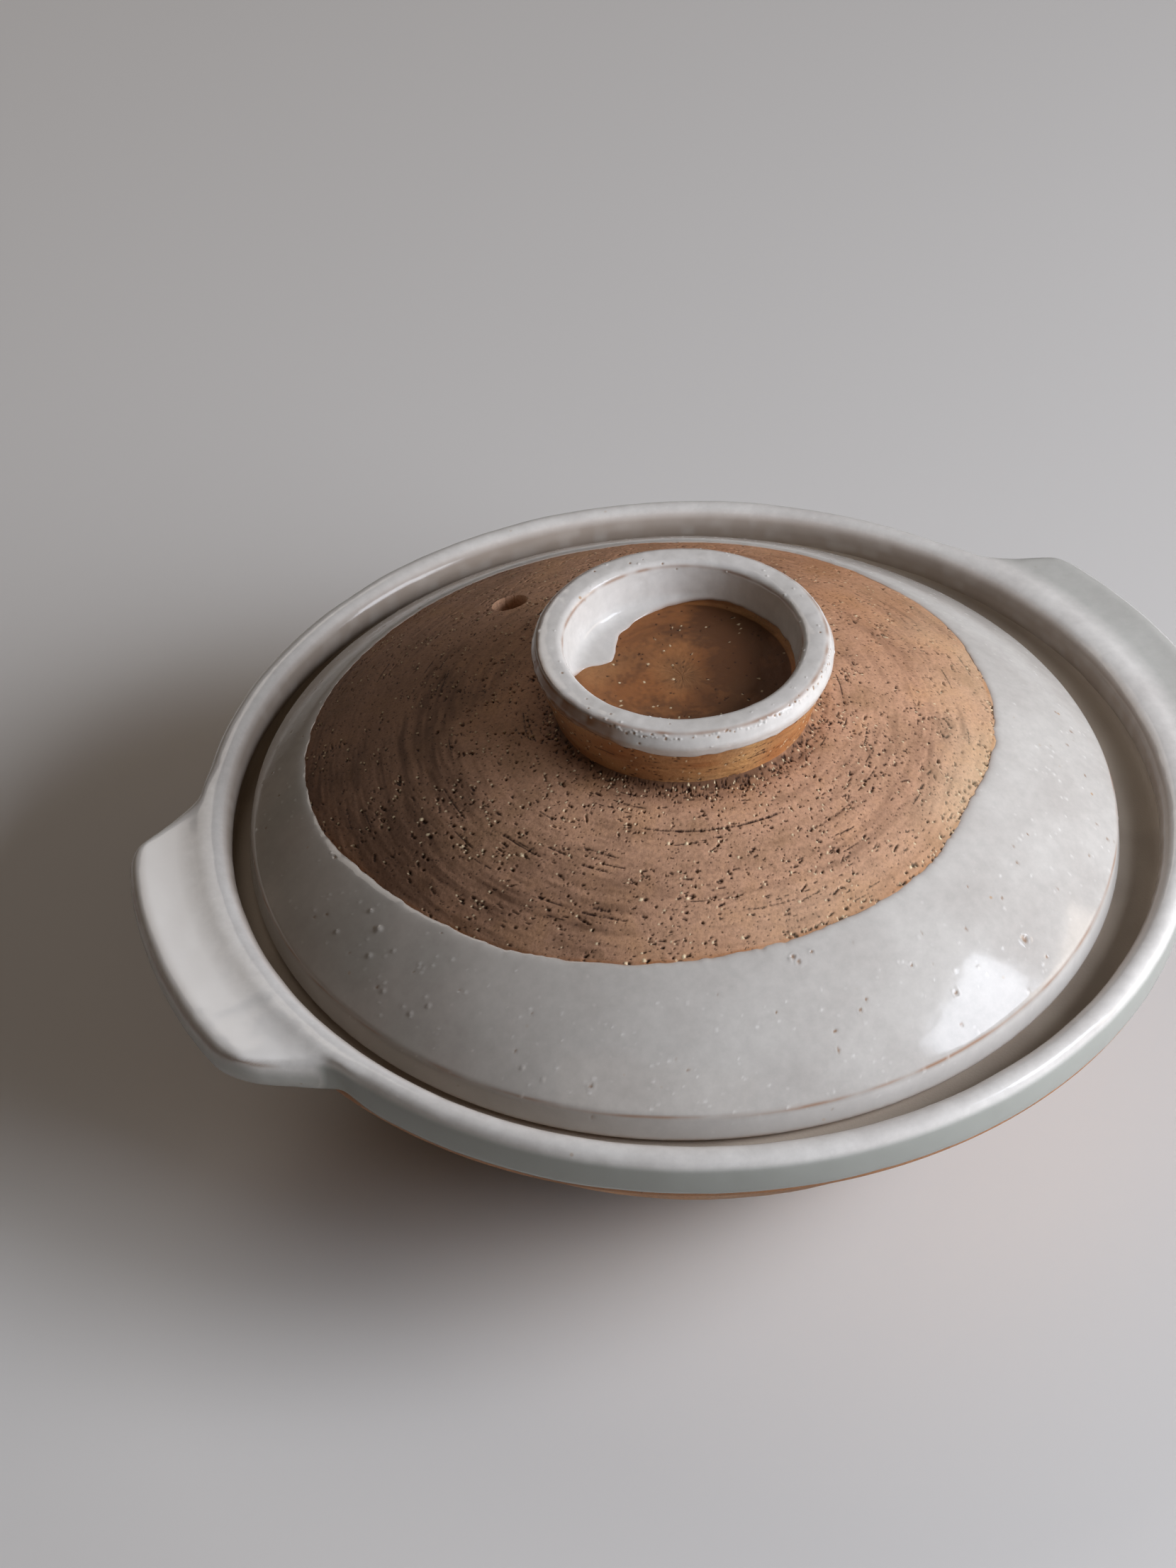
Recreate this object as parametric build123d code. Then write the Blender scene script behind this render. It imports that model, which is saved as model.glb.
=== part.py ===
from build123d import *
from math import atan, atan2, cos, hypot, radians, sin, sqrt, tan
import os

os.makedirs("parts", exist_ok=True)

# A small lidded clay pot, thrown on a wheel, half dipped in a milky glaze.
# Lengths are in millimetres and angles in degrees.
# Z is up from the table, X runs through both handles, and the lid is on.

# Rim of the bowl, over its glaze
rim_diameter = 190.0
rim_height = 57.3
lip_radius = 3.2
collar_height = 9.3
collar_edge_radius = 1.0
glaze_thickness = 0.45

# Seat for the lid, inside the collar
seat_depth = 8.2
seat_width = 12.6
seat_edge_radius = 1.2
seat_lip_height = 3.6

# Wall and floor of the bowl
neck_inset = 6.6
neck_drop = 4.5
neck_radius = 2.5
wall_bulge = 4.0
floor_thickness = 6.5
floor_radius = 26.0

# Trimmed foot ring
foot_diameter = 86.0
foot_height = 3.5
foot_flare = 2.0
foot_ring_width = 6.0
foot_recess = 2.0
foot_bevel = 0.8

# Handles, two lugs pressed on to the collar, each turned a few degrees towards the back
handle_turn = 3.2
handle_reach = 13.6
handle_tip_width = 61.0
handle_root_width = 81.0
handle_back_corner_radius = 9.0
handle_front_corner_radius = 15.0
handle_hollow_radius = 9.0
handle_drop = 4.2
handle_dish = 0.9
handle_thickness = 5.7
handle_edge_radius = 2.3
handle_sink = 0.2

# Lid, over its glaze, with the play that it has inside the collar, and the dome's rise to the knob
# for each millimetre across
lid_gap = 5.2
lid_thickness = 5.5
lid_edge_height = 6.3
lid_edge_lean = 0.6
lid_edge_radius = 2.0
lid_foot_width = 6.0
crease_radius = 0.8
shoulder_width = 18.8
shoulder_rise = 12.8
shoulder_bulge = 0.7
dome_slope = 0.352
lid_shift_x = -2.0
lid_shift_y = 0.9

# Steam hole, from the lid's edge inwards, and its direction from the lid's axis
steam_hole_diameter = 7.0
steam_hole_inset = 31.7
steam_hole_direction = 105.2

# Knob, a low thrown cup whose base is luted to the top of the lid
knob_height = 15.1
knob_radius = 28.3
knob_root_radius = 24.5
knob_belly_height = 12.0
knob_flare_hollow = 0.6
knob_shoulder = 1.1
knob_rim_width = 4.9
knob_edge_radius = 0.9
cup_depth = 8.6
cup_wall_taper = 1.7
cup_dish = 0.7
knob_base_sink = 2.0

# Where the glaze stops
rim_glaze_stop = 1.2
seat_glaze_stop = 1.5
knob_glaze_drop = 4.4
band_width = 18.9

# The dipped band's inner edge, as shares of its mean radius, each 15 degrees from X
band_edge_shares = (
    0.965, 1.010, 1.025, 1.050, 1.050, 1.055, 1.085, 1.115,
    1.130, 1.140, 1.125, 1.090, 1.035, 0.997, 0.972, 0.941,
    0.916, 0.895, 0.882, 0.878, 0.876, 0.867, 0.899, 0.932,
)

# How far a cutter runs past what it cuts
overrun = 5.0

# Radii and heights that follow from the sizes above
rim_radius = rim_diameter / 2
collar_radius = rim_radius - glaze_thickness
lip_clay_radius = lip_radius - glaze_thickness
lip_centre = rim_height - lip_radius
collar_bottom = rim_height - collar_height
collar_inside = collar_radius - 2 * lip_clay_radius
seat_height = rim_height - seat_depth
seat_inside = collar_inside - seat_width
foot_radius = foot_diameter / 2
floor_height = foot_recess + floor_thickness
lid_radius = rim_radius - 2 * lip_radius - lid_gap
lid_clay_radius = lid_radius - glaze_thickness
crease_height = seat_height + lid_edge_height
shoulder_radius = lid_radius - lid_edge_lean - shoulder_width
shoulder_height = crease_height + shoulder_rise
dome_rise = dome_slope * (shoulder_radius - knob_root_radius)
root_height = shoulder_height + dome_rise
bare_radius = lid_radius - band_width


def chord_heading(start_point, end_point):
    """Direction of travel from one point to the next, in radians."""
    return atan2(end_point[1] - start_point[1], end_point[0] - start_point[0])


def bulged_start(start_point, end_point, bulge):
    """First node of an arc that stands out by the bulge to the right of its chord."""
    chord = hypot(end_point[0] - start_point[0], end_point[1] - start_point[1])
    heading = chord_heading(start_point, end_point) - 2 * atan(2 * bulge / chord)
    return (start_point[0], start_point[1], heading)


def node_at(previous, point):
    """The node that an arc reaches at this point when it leaves the one before."""
    heading = 2 * chord_heading(previous, point) - previous[2]
    return (point[0], point[1], heading)


def shifted(node, distance):
    """The same node, moved to the right of its direction of travel."""
    radius, height, heading = node
    return (radius + distance * sin(heading), height - distance * cos(heading), heading)


def arc_between(start, end):
    """The arc from one node to the next, in line with both headings."""
    chord = hypot(end[0] - start[0], end[1] - start[1])
    bulge = chord / 2 * tan((end[2] - start[2]) / 4)
    heading = chord_heading(start, end)
    middle_radius = (start[0] + end[0]) / 2 + bulge * sin(heading)
    middle_height = (start[1] + end[1]) / 2 - bulge * cos(heading)
    return ThreePointArc(start[:2], (middle_radius, middle_height), end[:2])


def rounded(face, corners):
    """A flat face with some corners rounded, each given as radius, height and fillet."""
    for radius, height, fillet_radius in corners:
        corner = face.vertices().sort_by_distance((radius, height, 0))[0]
        face = fillet(corner, fillet_radius)
    return face


def turned(face):
    """The solid that a half section sweeps about the wheel's axis."""
    return revolve(Plane.XZ * face, Axis.Z, 360)


# Inside of the bowl, from the floor's edge to just under the seat
wall_foot = (floor_radius, floor_height, 0)
wall_top = node_at(wall_foot, (seat_inside, seat_height - seat_lip_height))

# Outside of the bowl, from the foot to the neck under the collar
neck_point = (rim_radius - neck_inset, collar_bottom - neck_drop)
foot_node = bulged_start((foot_radius + foot_flare, foot_height), neck_point, wall_bulge)
neck_node = node_at(foot_node, neck_point)

# Top of the lid under its glaze, from the crease inwards
crease_node = bulged_start(
    (lid_clay_radius - lid_edge_lean, crease_height),
    (shoulder_radius, shoulder_height),
    shoulder_bulge,
)
shoulder_node = node_at(crease_node, (shoulder_radius, shoulder_height))
root_node = node_at(shoulder_node, (knob_root_radius, root_height))
crown_rise = knob_root_radius * tan((radians(180) - root_node[2]) / 2)
crown_node = (0, root_height + crown_rise, radians(180))


def bowl_blank_face():
    """Half section of the bowl's outside, with the inside still full."""
    ring_inside = foot_radius - foot_ring_width
    edges = Polyline(
        (0, foot_recess),
        (ring_inside - foot_recess, foot_recess),
        (ring_inside, 0),
        (foot_radius, 0),
        foot_node[:2],
    )
    edges += arc_between(foot_node, neck_node)
    edges += Polyline(neck_point, (collar_radius, collar_bottom), (collar_radius, lip_centre))
    edges += Polyline((collar_radius, lip_centre), (0, lip_centre), (0, foot_recess))
    return rounded(make_face(edges), [
        (foot_radius, 0, foot_bevel),
        (ring_inside, 0, foot_bevel),
        (neck_point[0], neck_point[1], neck_radius),
        (collar_radius, collar_bottom, collar_edge_radius),
    ])


def bowl_hollow_face():
    """Half section of the room inside: cooking space, seat and collar."""
    top = rim_height + overrun
    edges = Line((0, floor_height), (floor_radius, floor_height))
    edges += arc_between(wall_foot, wall_top)
    edges += Polyline(
        wall_top[:2],
        (seat_inside, seat_height),
        (collar_inside, seat_height),
        (collar_inside, top),
        (0, top),
        (0, floor_height),
    )
    return rounded(make_face(edges), [
        (seat_inside, seat_height, seat_edge_radius),
        (collar_inside, seat_height, seat_edge_radius),
    ])


def lip_face(lip):
    """Half section of the rounded lip, for the clay or for the glaze over it."""
    lip_middle = collar_radius - lip_clay_radius
    return Pos(lip_middle, lip_centre) * Circle(lip)


def make_bowl():
    """Thrown body: trimmed foot, rounded wall, seat for the lid and collar."""
    return turned(bowl_blank_face() + lip_face(lip_clay_radius)) - turned(bowl_hollow_face())


def make_rim_glaze():
    """Milky coat over the collar's outside and lip, down to just above the seat."""
    lip_middle = collar_radius - lip_clay_radius
    outer_low = collar_bottom + rim_glaze_stop
    inner_low = seat_height + seat_glaze_stop
    half = Rectangle(lip_radius, lip_centre - outer_low, align=(Align.MIN, Align.MAX))
    inner_half = Rectangle(lip_radius, lip_centre - inner_low, align=(Align.MAX, Align.MAX))
    coat = Pos(lip_middle, lip_centre) * (half + inner_half + Circle(lip_radius))
    clay_height = lip_centre - outer_low + overrun
    clay_width = 2 * lip_clay_radius
    clay = Rectangle(clay_width, clay_height, align=(Align.CENTER, Align.MAX))
    core = Pos(lip_middle, lip_centre) * (clay + Circle(lip_clay_radius))
    return turned(coat - core)


def make_bowl_glaze():
    """Coat inside the bowl, from the middle of the floor to under the seat."""
    coat_foot = shifted(wall_foot, -glaze_thickness)
    coat_top = shifted(wall_top, -glaze_thickness)
    edges = Line((0, floor_height), wall_foot[:2])
    edges += arc_between(wall_foot, wall_top)
    edges += Line(wall_top[:2], coat_top[:2])
    edges += arc_between(coat_foot, coat_top)
    edges += Polyline(coat_foot[:2], (0, coat_foot[1]), (0, floor_height))
    return turned(make_face(edges))


def handle_plan():
    """Seen from above: a broad lug whose sides run back into the collar in hollows."""
    disc_radius = collar_radius - handle_sink
    tip_radius = rim_radius + handle_reach
    tip_half = handle_tip_width / 2
    root_half = handle_root_width / 2
    tip_x = sqrt(tip_radius ** 2 - tip_half ** 2)
    root_x = sqrt(disc_radius ** 2 - root_half ** 2)
    edges = Polyline((tip_x, tip_half), (root_x, root_half), (0, root_half))
    edges += Polyline((0, root_half), (0, -root_half), (root_x, -root_half), (tip_x, -tip_half))
    edges += ThreePointArc((tip_x, -tip_half), (tip_radius, 0), (tip_x, tip_half))
    plan = Circle(disc_radius) + make_face(edges)
    return rounded(plan, [
        (tip_x, tip_half, handle_back_corner_radius),
        (tip_x, -tip_half, handle_front_corner_radius),
        (root_x, root_half, handle_hollow_radius),
        (root_x, -root_half, handle_hollow_radius),
    ])


def handle_slab():
    """Ring as thick as a handle, with a shallow valley between lip and tip."""
    tip_radius = rim_radius + handle_reach
    tip_top = rim_height - handle_drop
    valley = (rim_radius + handle_reach / 3, tip_top - handle_dish)
    bottom = tip_top - handle_thickness
    inside = collar_inside
    edges = ThreePointArc((inside, tip_top), valley, (tip_radius + overrun, tip_top + handle_dish))
    edges += Polyline(
        (tip_radius + overrun, tip_top + handle_dish),
        (tip_radius + overrun, bottom),
        (inside, bottom),
        (inside, tip_top),
    )
    return turned(make_face(edges))


def make_handle():
    """The lug on the +X side, with all its edges softened and the collar's shape cut out."""
    tall = extrude(handle_plan(), rim_height)
    lug = tall & handle_slab()
    edge_limit = collar_radius - 2 * handle_sink
    soft_edges = [
        edge for edge in lug.edges()
        if abs(edge.tangent_at(0).Z) < sin(radians(45))
        and hypot((edge @ 0).X, (edge @ 0).Y) > edge_limit
    ]
    lug = fillet(soft_edges, handle_edge_radius)
    blank = turned(bowl_blank_face())
    return lug - blank


def lid_face(coat):
    """Half section of the lid: bare clay when the coat is 0, else clay and glaze."""
    edge_radius = lid_clay_radius + coat
    crease = shifted(crease_node, coat)
    shoulder = shifted(shoulder_node, coat)
    root = shifted(root_node, coat)
    crown = shifted(crown_node, coat)
    inner_foot = (lid_clay_radius - lid_edge_radius - lid_foot_width, seat_height)
    under_shoulder = shifted(shoulder_node, -lid_thickness)
    under_root = shifted(root_node, -lid_thickness)
    under_crown = shifted(crown_node, -lid_thickness)
    under_heading = 2 * chord_heading(inner_foot, under_shoulder) - under_shoulder[2]
    under_foot = (inner_foot[0], inner_foot[1], under_heading)
    edges = Polyline(inner_foot, (edge_radius, seat_height), crease[:2])
    edges += arc_between(crease, shoulder)
    edges += arc_between(shoulder, root)
    edges += arc_between(root, crown)
    edges += Line(crown[:2], under_crown[:2])
    edges += arc_between(under_root, under_crown)
    edges += arc_between(under_shoulder, under_root)
    edges += arc_between(under_foot, under_shoulder)
    return rounded(make_face(edges), [
        (edge_radius, seat_height, lid_edge_radius),
        (crease[0], crease[1], crease_radius),
    ])


def steam_hole():
    """Upright cutter for the steam hole, in the lid's own place."""
    distance = lid_radius - steam_hole_inset
    direction = radians(steam_hole_direction)
    place = Pos(distance * cos(direction), distance * sin(direction), root_height)
    return place * Cylinder(steam_hole_diameter / 2, 2 * root_height)


def bare_prism():
    """Upright prism inside the wavering line where the dipped band ends."""
    step = radians(360) / len(band_edge_shares)
    points = [
        (share * bare_radius * cos(turn * step), share * bare_radius * sin(turn * step))
        for turn, share in enumerate(band_edge_shares)
    ]
    return extrude(make_face(Spline(points, periodic=True)), 2 * root_height)


def make_lid():
    """Domed lid with a flat foot that rests on the seat, and one steam hole."""
    return turned(lid_face(0)) - steam_hole()


def make_lid_glaze():
    """Dipped band of glaze round the lid, from its edge up to the wavering line."""
    wiped = Cylinder(rim_radius, 2 * (seat_height + lid_edge_radius))
    return turned(lid_face(glaze_thickness)) - turned(lid_face(0)) - bare_prism() - wiped


def knob_face(coat):
    """Half section of the knob's cup, with or without its glaze."""
    top = root_height + knob_height - glaze_thickness + coat
    belly = root_height + knob_belly_height
    outside = knob_radius - glaze_thickness + coat
    rim_outside = outside - knob_shoulder
    rim_inside = knob_radius - knob_shoulder - knob_rim_width + glaze_thickness - coat
    floor = root_height + knob_height - cup_depth
    cup_radius = rim_inside - cup_wall_taper
    root = knob_root_radius - glaze_thickness + coat
    base = root_height - knob_base_sink
    hollow = ((root + outside) / 2 - knob_flare_hollow + knob_shoulder / 2, (root_height + belly) / 2)
    cup_centre = (0, floor - cup_dish, 0)
    cup_edge = node_at(cup_centre, (cup_radius, floor))
    edges = Polyline((0, base), (root, base), (root, root_height))
    edges += ThreePointArc((root, root_height), hollow, (outside, belly))
    edges += Polyline((outside, belly), (rim_outside, top), (rim_inside, top), (cup_radius, floor))
    edges += arc_between(cup_centre, cup_edge)
    edges += Line(cup_centre[:2], (0, base))
    return rounded(make_face(edges), [
        (outside, belly, knob_edge_radius),
        (rim_outside, top, knob_edge_radius),
        (rim_inside, top, knob_edge_radius),
    ])


def make_knob():
    """Low cup that is luted to the dome and serves as the lid's grip."""
    return turned(knob_face(0)) - turned(lid_face(0))


def make_knob_glaze():
    """Glaze that runs from the cup's wall over its rim and a little way down outside."""
    low = root_height + knob_height - knob_glaze_drop
    below = Cylinder(rim_radius, 2 * low)
    floor = root_height + knob_height - cup_depth
    coat = turned(knob_face(glaze_thickness)) - turned(knob_face(0))
    well = Pos(0, 0, floor) * Cylinder(knob_root_radius - cup_wall_taper, cup_depth)
    return coat - (below - well)


def on_seat(shape):
    """Move a piece of the lid to where the lid lies, a little off the middle."""
    return Pos(lid_shift_x, lid_shift_y, 0) * shape


right_handle = Rot(0, 0, handle_turn) * make_handle()
left_handle = mirror(right_handle, Plane.YZ)

pieces = {
    "bowl": make_bowl(),
    "left_handle": left_handle,
    "right_handle": right_handle,
    "rim_glaze": make_rim_glaze() - right_handle - left_handle,
    "bowl_glaze": make_bowl_glaze(),
    "lid": on_seat(make_lid()),
    "lid_glaze": on_seat(make_lid_glaze()),
    "lid_knob": on_seat(make_knob()),
    "knob_glaze": on_seat(make_knob_glaze()),
}

for name, piece in pieces.items():
    export_step(piece, "parts/" + name + ".step")
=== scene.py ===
import bpy
import math
import numpy as np
from mathutils import Matrix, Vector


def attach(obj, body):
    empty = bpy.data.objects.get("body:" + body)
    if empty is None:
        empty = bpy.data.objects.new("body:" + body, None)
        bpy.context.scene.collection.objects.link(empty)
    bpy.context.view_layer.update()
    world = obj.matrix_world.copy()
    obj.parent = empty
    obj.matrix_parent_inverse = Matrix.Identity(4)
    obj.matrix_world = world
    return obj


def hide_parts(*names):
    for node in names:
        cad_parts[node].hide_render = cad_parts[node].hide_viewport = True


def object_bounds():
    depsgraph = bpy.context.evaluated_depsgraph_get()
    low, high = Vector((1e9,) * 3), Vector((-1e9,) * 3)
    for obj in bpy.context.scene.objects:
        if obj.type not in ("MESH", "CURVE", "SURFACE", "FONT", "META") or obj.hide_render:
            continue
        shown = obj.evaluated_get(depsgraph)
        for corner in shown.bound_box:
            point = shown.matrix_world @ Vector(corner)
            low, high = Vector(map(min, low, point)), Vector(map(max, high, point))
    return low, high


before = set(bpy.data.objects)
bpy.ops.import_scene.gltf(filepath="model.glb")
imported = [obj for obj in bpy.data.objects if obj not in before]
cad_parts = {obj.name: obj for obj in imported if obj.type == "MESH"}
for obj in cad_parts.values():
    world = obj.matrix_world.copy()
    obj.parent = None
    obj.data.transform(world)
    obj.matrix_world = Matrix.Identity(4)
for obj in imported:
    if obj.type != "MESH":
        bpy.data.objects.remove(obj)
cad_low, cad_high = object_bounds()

# BOWL
# A stoneware body thrown on the wheel and trimmed at the foot. Its collar has an inner ledge
# that the lid rests on. The clay is coarse, fired to a warm tan, and left bare outside.

scene = bpy.context.scene
mm = 0.001

# sizes are in millimetres and heights start at the table
rim_radius = round(float(cad_high[1]) / mm, 1)
foot_radius, foot_width, foot_hollow = 43.0, 6.0, 2.0
wall_start, neck_radius, neck_height = 3.5, 88.4, 43.5
collar_foot, collar_inner, collar_top = 48.0, 89.4, 53.6
seat_height, seat_inner, seat_outer = 49.1, 76.45, 89.05
well_height, floor_radius, floor_height = 45.5, 26.0, 8.5
glaze_thickness = 0.45
by_axis = 0.4


def arc_points(start, end, bulge, spacing):
    """Points of an arc from start towards end, which stands out to the right by the bulge."""
    start, end = np.array(start, float), np.array(end, float)
    chord = np.linalg.norm(end - start)
    count = max(2, int(chord / spacing))
    along = np.linspace(0, 1, count, endpoint=False)
    direction = (end - start) / chord
    right = np.array([direction[1], -direction[0]])
    if abs(bulge) < 1e-6:
        return start + along[:, None] * (end - start)
    radius = (chord * chord / 4 + bulge * bulge) / (2 * abs(bulge))
    half = math.asin(min(1, chord / 2 / radius))
    angle = (along * 2 - 1) * half
    side = math.copysign(1, bulge) * (radius * np.cos(angle) - radius * math.cos(half))
    forward = chord / 2 + radius * np.sin(angle)
    return start + forward[:, None] * direction + side[:, None] * right


def run_along(line):
    """How far along a line each of its points lies."""
    return np.concatenate([[0], np.cumsum(np.linalg.norm(np.diff(line, axis=0), axis=1))])


def half_section(corners, spacing):
    """A line through corners, each given as radius, height, softness and bulge to the next."""
    legs = [arc_points(here[:2], there[:2], here[3], spacing) for here, there in zip(corners, corners[1:])]
    line = np.concatenate(legs + [np.array([corners[-1][:2]], float)])
    for corner in corners[1:-1]:
        soft = corner[2]
        if not soft:
            continue
        at = int(np.argmin(np.linalg.norm(line - np.array(corner[:2]), axis=1)))
        run = run_along(line)
        first = int(np.searchsorted(run, run[at] - soft))
        last = min(int(np.searchsorted(run, run[at] + soft)), len(line) - 1)
        a, b, c = line[first], np.array(corner[:2], float), line[last]
        t = np.linspace(0, 1, max(5, last - first + 1))[:, None]
        curve = (1 - t) ** 2 * a + 2 * t * (1 - t) * b + t * t * c
        line = np.concatenate([line[:first], curve, line[last + 1:]])
    return line


def hashed(cells, seed):
    """A number from 0 to 1 for each whole cell, the same on every run."""
    n = cells[..., 0] * 73856093 ^ cells[..., 1] * 19349663 ^ cells[..., 2] * 83492791
    n = (n ^ (seed * 2654435761)) & 0xFFFFFFFF
    n = ((n ^ (n >> 16)) * 0x45D9F3B) & 0xFFFFFFFF
    n = ((n ^ (n >> 16)) * 0x45D9F3B) & 0xFFFFFFFF
    return ((n ^ (n >> 16)) & 0xFFFFFF) / 0xFFFFFF


def waver(points, size, seed):
    """Smooth unevenness from -1 to 1 at points in millimetres, with lumps of about this size."""
    p = np.asarray(points, float) / size
    base = np.floor(p).astype(np.int64)
    f = p - base
    f = f * f * f * (f * (f * 6 - 15) + 10)
    total = np.zeros(p.shape[:-1])
    for dx, dy, dz in np.ndindex(2, 2, 2):
        w = (f[..., 0] if dx else 1 - f[..., 0]) * (f[..., 1] if dy else 1 - f[..., 1])
        w = w * (f[..., 2] if dz else 1 - f[..., 2])
        total += w * hashed(base + np.array([dx, dy, dz]), seed)
    return total * 2 - 1


def section_normals(line):
    """Outward normals of a line that runs with the outside on its right."""
    step = np.gradient(line, axis=0)
    step /= np.maximum(np.linalg.norm(step, axis=1), 1e-9)[:, None]
    return np.stack([step[:, 1], -step[:, 0]], axis=1)


def ring_grid(radius, height, angle, centre=(0, 0)):
    """Points of a turned surface from radii and heights by row, or by row and column."""
    radius, height = np.broadcast_arrays(radius, height)
    x = radius * np.cos(angle) + centre[0]
    y = radius * np.sin(angle) + centre[1]
    return np.stack([x, y, np.broadcast_to(height, x.shape)], axis=-1)


def mark_mesh(mesh, marks):
    """Gives each vertex of a mesh its values for the materials to read."""
    for mark, values in marks.items():
        layer = mesh.attributes.new(mark, "FLOAT", "POINT")
        layer.data.foreach_set("value", values.reshape(-1).astype(np.float32))


def ring_mesh(name, grid, cap_ends=False, closed=False, marks=None):
    """A mesh from rows of points that close round the wheel's axis, with marks as attributes."""
    rows, columns = grid.shape[:2]
    flat = grid.reshape(-1, 3) * mm
    i = np.arange(rows if closed else rows - 1)[:, None] * columns
    up = (i + columns) % (rows * columns)
    j = np.arange(columns)[None, :]
    k = (j + 1) % columns
    faces = np.stack([i + j, i + k, up + k, up + j], axis=-1).reshape(-1, 4)
    loops = faces.reshape(-1)
    starts = np.arange(len(faces)) * 4
    totals = np.full(len(faces), 4)
    if cap_ends:
        ends = np.concatenate([np.arange(columns)[::-1], (rows - 1) * columns + np.arange(columns)])
        loops = np.concatenate([loops, ends])
        starts = np.concatenate([starts, [len(faces) * 4, len(faces) * 4 + columns]])
        totals = np.concatenate([totals, [columns, columns]])
    mesh = bpy.data.meshes.new(name)
    mesh.vertices.add(len(flat))
    mesh.vertices.foreach_set("co", flat.astype(np.float32).reshape(-1))
    mesh.loops.add(len(loops))
    mesh.loops.foreach_set("vertex_index", loops.astype(np.int32))
    mesh.polygons.add(len(starts))
    mesh.polygons.foreach_set("loop_start", starts.astype(np.int32))
    mesh.polygons.foreach_set("loop_total", totals.astype(np.int32))
    mesh.update(calc_edges=True)
    mesh.validate()
    mesh.shade_smooth()
    mark_mesh(mesh, marks or {})
    return mesh


def placed(name, mesh, material, body, nodes):
    """Puts a mesh in the scene in place of its solid, with its material and its body."""
    piece = bpy.data.objects.new(name, mesh)
    scene.collection.objects.link(piece)
    mesh.materials.clear()
    mesh.materials.append(material)
    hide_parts(*nodes)
    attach(piece, body)
    return piece


def linear(code):
    """Linear colour, with alpha, from an sRGB hex code."""
    parts = [int(code[i:i + 2], 16) / 255 for i in (1, 3, 5)]
    return [p / 12.92 if p <= 0.04045 else ((p + 0.055) / 1.055) ** 2.4 for p in parts] + [1]


def add_node(material, kind, settings=None, links=None):
    """Adds a node, gives its settings and socket values, and links its inputs."""
    tree = material.node_tree
    node = tree.nodes.new("ShaderNode" + kind)
    for key, value in (settings or {}).items():
        if key == "stops":
            while len(node.color_ramp.elements) < len(value):
                node.color_ramp.elements.new(0.5)
            for element, (place, tone) in zip(node.color_ramp.elements, value):
                element.position = place
                element.color = linear(tone) if isinstance(tone, str) else [tone] * 3 + [1]
        elif isinstance(key, int) or key in node.inputs:
            node.inputs[key].default_value = value
        else:
            setattr(node, key, value)
    for key, source in (links or {}).items():
        tree.links.new(source, node.inputs[key])
    return node


def new_material(name):
    """An empty material with a principled surface and an output."""
    material = bpy.data.materials.new(name)
    material.use_nodes = True
    material.node_tree.nodes.clear()
    surface = add_node(material, "BsdfPrincipled")
    add_node(material, "OutputMaterial", links={"Surface": surface.outputs["BSDF"]})
    return material, surface


def over_marks(material, colour, tones):
    """The colour, with a tone laid over it wherever a mark of the mesh says so."""
    for mark, code in tones:
        layer = add_node(material, "Attribute", {"attribute_name": mark})
        colour = add_node(material, "Mix", {"data_type": "RGBA", 7: linear(code)},
                          {"Factor": layer.outputs["Fac"], 6: colour}).outputs[2]
    return colour


def bare_clay(name, pale, warm, deep):
    """Coarse grogged stoneware, fired bare: matt, sandy, with grog and small open pits."""
    material, surface = new_material(name)
    links = material.node_tree.links
    place = add_node(material, "NewGeometry").outputs["Position"]
    # blotches 14 mm across from the kiln's fire, and sand of about 0.6 mm
    blotch = add_node(material, "TexNoise",
                      {"Scale": 1 / 0.014, "Detail": 5, "Roughness": 0.6}, {"Vector": place})
    tint = add_node(material, "ValToRGB", {"stops": [(0.32, deep), (0.5, pale), (0.68, warm)]},
                    {"Fac": blotch.outputs["Fac"]}).outputs["Color"]
    sand = add_node(material, "TexNoise",
                    {"Scale": 1 / 0.0006, "Detail": 3, "Roughness": 0.7}, {"Vector": place})
    sand_tone = add_node(material, "ValToRGB", {"stops": [(0.3, 0.72), (0.5, 1.0), (0.72, 1.16)]},
                         {"Fac": sand.outputs["Fac"]}).outputs["Color"]
    sanded = add_node(material, "Mix",
                      {"data_type": "RGBA", "blend_type": "MULTIPLY", "Factor": 1},
                      {6: tint, 7: sand_tone}).outputs[2]
    # iron specks of 0.3 to 0.5 mm
    specks = add_node(material, "TexVoronoi", {"Scale": 1 / 0.0022}, {"Vector": place})
    dots = add_node(material, "ValToRGB", {"stops": [(0.06, 1.0), (0.12, 0.0)]},
                    {"Fac": specks.outputs["Distance"]}).outputs["Color"]
    dotted = add_node(material, "Mix", {"data_type": "RGBA", 7: linear("#5f4432")},
                      {"Factor": dots, 6: sanded}).outputs[2]
    # soot lays dark brown for real soot and for painted shade and shadow; grain lays cream for grog grains
    # and for painted glints
    colour = over_marks(material, dotted, (
        ("ash", "#b0a597"), ("halo", "#a2683c"), ("soot", "#4a3122"),
        ("pit", "#33211a"), ("grain", "#d8c5a2")))
    links.new(colour, surface.inputs["Base Color"])
    surface.inputs["Roughness"].default_value = 0.72
    surface.inputs["IOR"].default_value = 1.45
    bump = add_node(material, "Bump", {"Strength": 0.55, "Distance": 0.00016},
                    {"Height": sand.outputs["Fac"]})
    links.new(bump.outputs["Normal"], surface.inputs["Normal"])
    return material


body_clay = bare_clay("bare_stoneware_body", "#b18b6a", "#ba8a61", "#a07a5b")

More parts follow.
